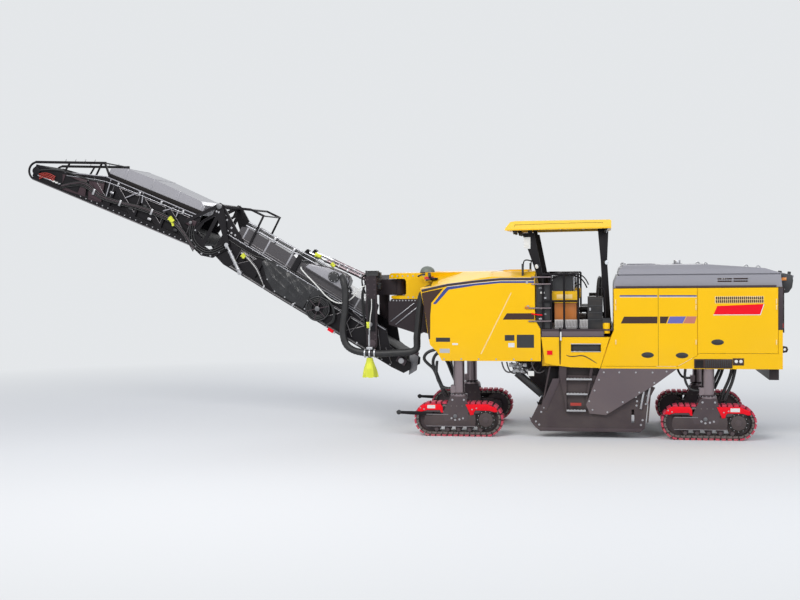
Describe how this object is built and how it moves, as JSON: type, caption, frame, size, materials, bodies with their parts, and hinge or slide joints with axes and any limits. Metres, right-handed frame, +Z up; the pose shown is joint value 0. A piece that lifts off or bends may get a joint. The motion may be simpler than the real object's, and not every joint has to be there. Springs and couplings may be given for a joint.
{
  "type": "cold planer milling machine",
  "caption": "Front-loading cold planer on four steerable tracks with lifting columns, a milling drum and a slewing, folding discharge conveyor.",
  "frame": {"origin": "on the ground, in the middle of the length and width over everything", "axes": "+X from the conveyor's head to the engine, +Y to the right-hand side away from the duct and the tarp, +Z up"},
  "size_m": [15.1923, 2.54, 5.5015],
  "materials": {
    "yellow_paint": "satin",
    "dark_paint": "satin",
    "grey_paint": "satin",
    "silver_paint": "satin",
    "wide_steel": "worn",
    "chrome": "polished",
    "rubber": "matte",
    "track_pad": "matte",
    "tarp": "matte",
    "high_vis": "matte",
    "white_hose": "satin",
    "seat": "matte",
    "black_plastic": "matte"
  },
  "bodies": {
    "chassis": {"main_frame": "dark_paint", "front_cover": "yellow_paint", "slew_mount": "yellow_paint", "primary_conveyor": "dark_paint", "side_tanks": "yellow_paint", "platform": "grey_paint", "platform_rails": "dark_paint", "consoles": "yellow_paint", "seats": "seat", "canopy_roof": "yellow_paint", "canopy_posts": "dark_paint", "rear_body": "yellow_paint", "hood": "silver_paint", "rear_grille": "dark_paint", "engine": "grey_paint", "side_skirts": "grey_paint", "ladders": "grey_paint", "drum_housing": "dark_paint", "rear_fittings": "dark_paint", "duct_stub": "rubber"},
    "leg_front_left": {"column_front_left": "grey_paint", "hoses_front_left": "rubber"},
    "track_unit_front_left": {"crawler_front_left": "grey_paint", "track_front_left": "track_pad"},
    "leg_front_right": {"column_front_right": "grey_paint", "hoses_front_right": "rubber"},
    "track_unit_front_right": {"crawler_front_right": "grey_paint", "track_front_right": "track_pad"},
    "leg_rear_left": {"column_rear_left": "grey_paint", "hoses_rear_left": "rubber"},
    "track_unit_rear_left": {"crawler_rear_left": "grey_paint", "track_rear_left": "track_pad"},
    "leg_rear_right": {"column_rear_right": "grey_paint", "hoses_rear_right": "rubber"},
    "track_unit_rear_right": {"crawler_rear_right": "grey_paint", "track_rear_right": "track_pad"},
    "drum": {"milling_drum": "wide_steel"},
    "side_plate_left": {"side_plate_left": "grey_paint"},
    "side_plate_right": {"side_plate_right": "grey_paint"},
    "scraper": {"scraper": "dark_paint"},
    "slew": {"slew_bracket": "dark_paint", "suction_duct": "rubber", "hang_bag": "high_vis", "white_hose": "white_hose"},
    "lower": {"lower_frame": "dark_paint", "lower_cover": "silver_paint", "lower_belt": "rubber", "side_tarp": "tarp"},
    "outer": {"outer_frame": "dark_paint", "outer_cover": "silver_paint", "outer_belt": "rubber"},
    "lift_barrel": {"lift_barrels": "silver_paint"},
    "lift_rod": {"lift_rods": "chrome"},
    "fold_barrel": {"fold_barrels": "silver_paint"},
    "fold_rod": {"fold_rods": "chrome"},
    "engine_door_front_left": {"door_front_left": "yellow_paint"},
    "engine_door_front_right": {"door_front_right": "yellow_paint"},
    "engine_door_rear_left": {"door_rear_left": "yellow_paint"},
    "engine_door_rear_right": {"door_rear_right": "yellow_paint"}
  },
  "joints": [
    {"name": "lift_front_left", "type": "slide", "parent": "chassis", "child": "leg_front_left", "axis": [0, 0, 1], "range_m": [-0.05, 0.4]},
    {"name": "lift_front_right", "type": "slide", "parent": "chassis", "child": "leg_front_right", "axis": [0, 0, 1], "range_m": [-0.05, 0.4]},
    {"name": "lift_rear_left", "type": "slide", "parent": "chassis", "child": "leg_rear_left", "axis": [0, 0, 1], "range_m": [-0.05, 0.4]},
    {"name": "lift_rear_right", "type": "slide", "parent": "chassis", "child": "leg_rear_right", "axis": [0, 0, 1], "range_m": [-0.05, 0.4]},
    {"name": "steer_front_left", "type": "hinge", "parent": "leg_front_left", "child": "track_unit_front_left", "pos_m": [1.43865, -1.075, 0.33], "axis": [0, 0, 1], "range_deg": [-15, 15]},
    {"name": "steer_front_right", "type": "hinge", "parent": "leg_front_right", "child": "track_unit_front_right", "pos_m": [1.43865, 1.075, 0.33], "axis": [0, 0, 1], "range_deg": [-15, 15]},
    {"name": "steer_rear_left", "type": "hinge", "parent": "leg_rear_left", "child": "track_unit_rear_left", "pos_m": [6.03365, -1.075, 0.33], "axis": [0, 0, 1], "range_deg": [-15, 15]},
    {"name": "steer_rear_right", "type": "hinge", "parent": "leg_rear_right", "child": "track_unit_rear_right", "pos_m": [6.03365, 1.075, 0.33], "axis": [0, 0, 1], "range_deg": [-15, 15]},
    {"name": "drum_spin", "type": "hinge", "parent": "chassis", "child": "drum", "pos_m": [3.93615, 0, 0.665], "axis": [0, 1, 0], "continuous": true},
    {"name": "side_plate_lift_left", "type": "slide", "parent": "chassis", "child": "side_plate_left", "axis": [0, 0, 1], "range_m": [-0.1, 0.3]},
    {"name": "side_plate_lift_right", "type": "slide", "parent": "chassis", "child": "side_plate_right", "axis": [0, 0, 1], "range_m": [-0.1, 0.3]},
    {"name": "scraper_lift", "type": "slide", "parent": "chassis", "child": "scraper", "axis": [0, 0, 1], "range_m": [0, 0.35]},
    {"name": "slew_turn", "type": "hinge", "parent": "chassis", "child": "slew", "pos_m": [0.11615, 0, 2.815], "axis": [0, 0, 1], "range_deg": [-60, 60]},
    {"name": "luff", "type": "hinge", "parent": "slew", "child": "lower", "pos_m": [-0.32385, 0, 1.72], "axis": [0, 1, 0], "range_deg": [-24, 4]},
    {"name": "fold", "type": "hinge", "parent": "lower", "child": "outer", "pos_m": [-3.43137, 0, 4.47966], "axis": [0, 1, 0], "range_deg": [0, 160]},
    {"name": "lift_barrel_swing", "type": "hinge", "parent": "slew", "child": "lift_barrel", "pos_m": [-0.48385, 0, 2.97], "axis": [0, 1, 0], "range_deg": [-32, 7]},
    {"name": "lift_rod_slide", "type": "slide", "parent": "lift_barrel", "child": "lift_rod", "axis": [-0.9058, 0, 0.4237], "range_m": [-0.1, 0.52]},
    {"name": "fold_barrel_swing", "type": "hinge", "parent": "lower", "child": "fold_barrel", "pos_m": [-3.01719, 0, 3.14], "axis": [0, 1, 0], "range_deg": [-28, 1]},
    {"name": "fold_rod_slide", "type": "slide", "parent": "fold_barrel", "child": "fold_rod", "axis": [-0.4269, 0, 0.9043], "range_m": [-0.01, 0.42]},
    {"name": "door_hinge_front_left", "type": "hinge", "parent": "chassis", "child": "engine_door_front_left", "pos_m": [5.08715, -1.25, 2.785], "axis": [-1, 0, 0], "range_deg": [0, 80]},
    {"name": "door_hinge_front_right", "type": "hinge", "parent": "chassis", "child": "engine_door_front_right", "pos_m": [5.08715, 1.25, 2.785], "axis": [1, 0, 0], "range_deg": [0, 80]},
    {"name": "door_hinge_rear_left", "type": "hinge", "parent": "chassis", "child": "engine_door_rear_left", "pos_m": [6.54315, -1.25, 2.785], "axis": [-1, 0, 0], "range_deg": [0, 80]},
    {"name": "door_hinge_rear_right", "type": "hinge", "parent": "chassis", "child": "engine_door_rear_right", "pos_m": [6.54315, 1.25, 2.785], "axis": [1, 0, 0], "range_deg": [0, 80]}
  ],
  "couplings": [
    {"joint": "steer_front_right", "follows": "steer_front_left", "ratio": 1},
    {"joint": "steer_rear_right", "follows": "steer_rear_left", "ratio": 1},
    {"joint": "lift_barrel_swing", "follows": "luff", "ratio": 1.291},
    {"joint": "lift_rod_slide", "follows": "luff", "m_per_rad": -1.1729},
    {"joint": "fold_barrel_swing", "follows": "fold", "ratio": -0.1613},
    {"joint": "fold_rod_slide", "follows": "fold", "m_per_rad": 0.1433}
  ]
}
